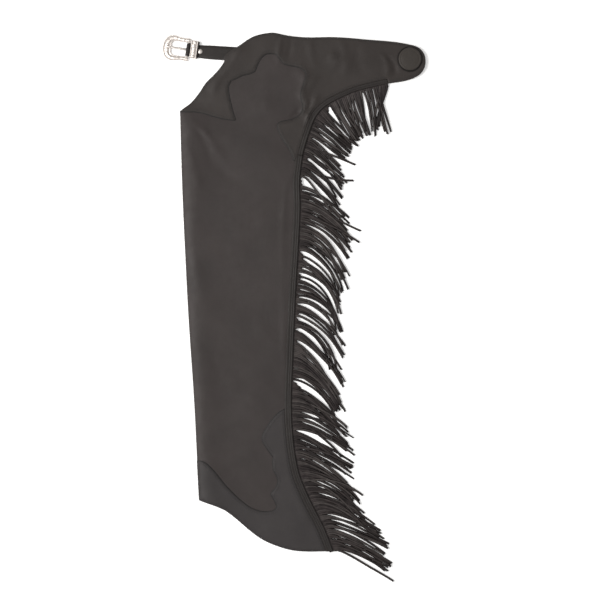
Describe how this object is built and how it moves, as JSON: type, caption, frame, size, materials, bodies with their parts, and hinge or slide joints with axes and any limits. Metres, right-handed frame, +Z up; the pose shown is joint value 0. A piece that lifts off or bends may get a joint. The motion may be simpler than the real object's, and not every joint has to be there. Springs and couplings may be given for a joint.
{
  "type": "leather chaps",
  "caption": "Pair of western leather show chaps folded flat on their side, with scalloped yoke and hem overlays, long side fringe, a round leather rosette and an engraved front buckle.",
  "frame": {"origin": "middle of the folded pair's flat underside, under the middle of its whole outline", "axes": "+Y from the hem up to the belt, +X from the folded front edge of the leg towards the fringed back edge and the belt's back end, +Z up out of the surface that the pair lies on"},
  "size_m": [0.5254, 1.0918, 0.0145],
  "materials": {
    "leg_leather": "matte charcoal-black chap leather with fine grain",
    "yoke_leather": "smooth matte black leather, slightly glossier than the legs",
    "trim_leather": "matte black leather with parallel stitched ridges",
    "hem_leather": "smooth matte black leather, slightly cooler than the legs",
    "fringe_leather": "thin soft black leather cut into narrow strands",
    "zip_tape": "black woven tape",
    "silver": "bright silver plate with engraved scrolls and a rope edge, darkened in the recesses"
  },
  "bodies": {
    "garment": {"left_leg": "leg_leather", "left_yoke": "yoke_leather", "left_yoke_edge_strip": "trim_leather", "left_leg_edge_strip": "trim_leather", "left_hem_overlay": "hem_leather", "left_yoke_fringe": "fringe_leather", "left_leg_fringe": "fringe_leather", "side_zip": "zip_tape", "right_chap_folded_under": "leg_leather", "right_yoke_fringe": "fringe_leather", "right_leg_fringe": "fringe_leather", "rosette_base": "trim_leather", "rosette_cap": "yoke_leather", "buckle_strap": "trim_leather", "strap_screw": "silver", "keeper": "silver"},
    "buckle": {"buckle_frame": "silver"},
    "prong": {"buckle_prong": "silver"}
  },
  "joints": [
    {"name": "buckle_hinge", "type": "hinge", "parent": "garment", "child": "buckle", "pos_m": [-0.21227, 0.51241, 0.004], "axis": [0.1478, 0.989, 0], "range_deg": [0, 60]},
    {"name": "prong_hinge", "type": "hinge", "parent": "buckle", "child": "prong", "pos_m": [-0.21227, 0.51241, 0.004], "axis": [0.1478, 0.989, 0], "range_deg": [0, 45]}
  ]
}
